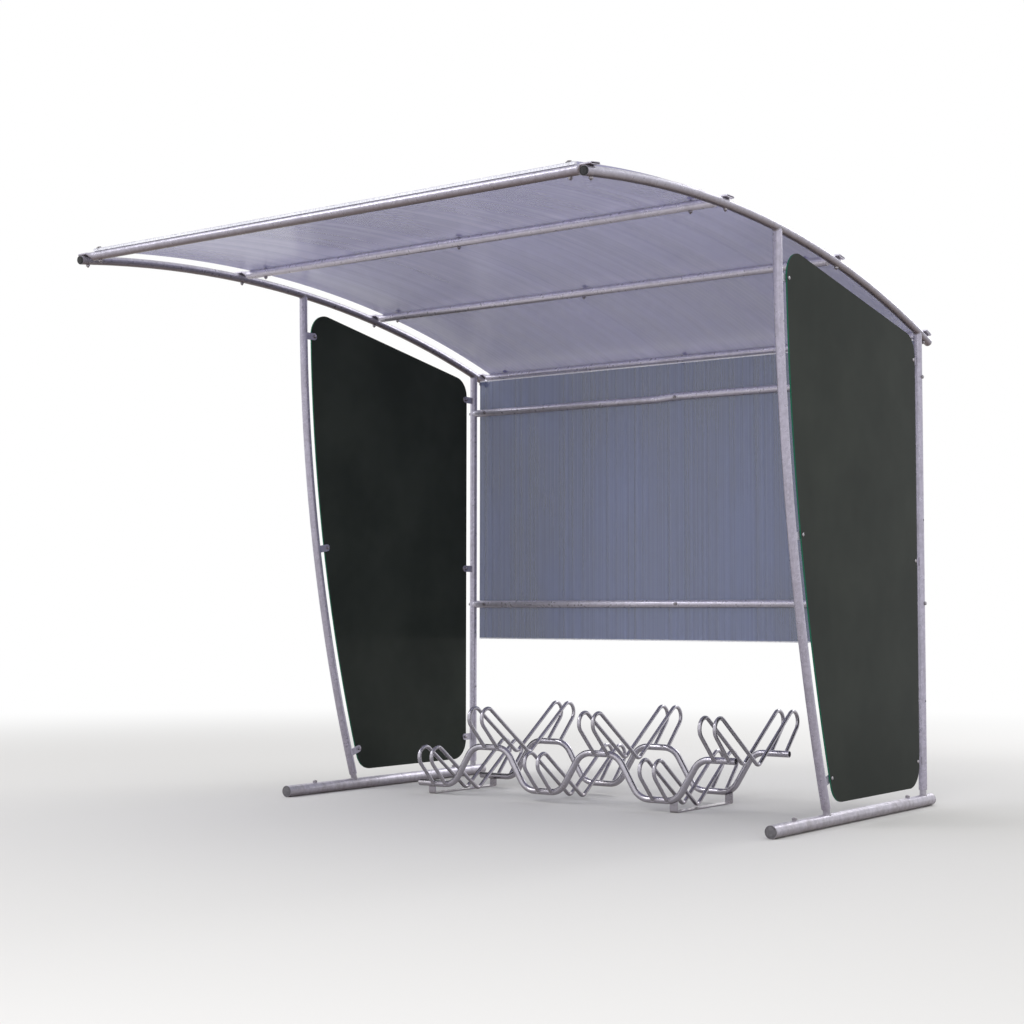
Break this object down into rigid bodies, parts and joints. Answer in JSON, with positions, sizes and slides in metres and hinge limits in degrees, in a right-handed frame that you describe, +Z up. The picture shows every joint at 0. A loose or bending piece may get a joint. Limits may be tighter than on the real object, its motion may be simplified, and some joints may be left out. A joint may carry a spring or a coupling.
{
  "type": "bike shelter",
  "caption": "Open bike shelter with a curved sheet roof, side panels, a back sheet and a bent-tube bike rack.",
  "frame": {"origin": "on the ground under the middle of the shelter's bounding box", "axes": "+X to the right as seen from the open front, +Y from the open front to the back sheet, +Z up"},
  "size_m": [2.3482, 2.5406, 2.21],
  "materials": {
    "galvanised_steel": "hot-dip galvanised, satin with spangle",
    "panel_laminate": "smooth glossy dark green laminate",
    "roof_sheet": "twin-wall polycarbonate, glossy, slightly milky",
    "back_sheet": "twin-wall polycarbonate with upright flutes",
    "base_cap": "moulded dark grey plastic, weathered",
    "rafter_cap": "moulded black plastic"
  },
  "bodies": {
    "root": {"back_rail_lower": "galvanised_steel", "back_rail_upper": "galvanised_steel", "back_sheet": "back_sheet", "base_cap_left_front": "base_cap", "base_cap_left_rear": "base_cap", "base_cap_right_front": "base_cap", "base_cap_right_rear": "base_cap", "base_tube_left": "galvanised_steel", "base_tube_right": "galvanised_steel", "front_post_left": "galvanised_steel", "front_post_right": "galvanised_steel", "front_rail": "galvanised_steel", "purlin_front": "galvanised_steel", "purlin_rear": "galvanised_steel", "rack_foot_left": "galvanised_steel", "rack_foot_right": "galvanised_steel", "rack_holder_1": "galvanised_steel", "rack_holder_2": "galvanised_steel", "rack_holder_3": "galvanised_steel", "rack_holder_4": "galvanised_steel", "rack_holder_5": "galvanised_steel", "rack_holder_6": "galvanised_steel", "rack_rail_front": "galvanised_steel", "rack_rail_rear": "galvanised_steel", "rafter_cap_left_front": "rafter_cap", "rafter_cap_left_rear": "rafter_cap", "rafter_cap_right_front": "rafter_cap", "rafter_cap_right_rear": "rafter_cap", "rafter_left": "galvanised_steel", "rafter_right": "galvanised_steel", "rear_post_left": "galvanised_steel", "rear_post_right": "galvanised_steel", "rear_rail": "galvanised_steel", "roof_bolts_front_rail": "galvanised_steel", "roof_bolts_purlin_front": "galvanised_steel", "roof_bolts_purlin_rear": "galvanised_steel", "roof_bolts_rear_rail": "galvanised_steel", "roof_sheet": "roof_sheet", "side_panel_left": "panel_laminate", "side_panel_right": "panel_laminate"}
  },
  "joints": []
}
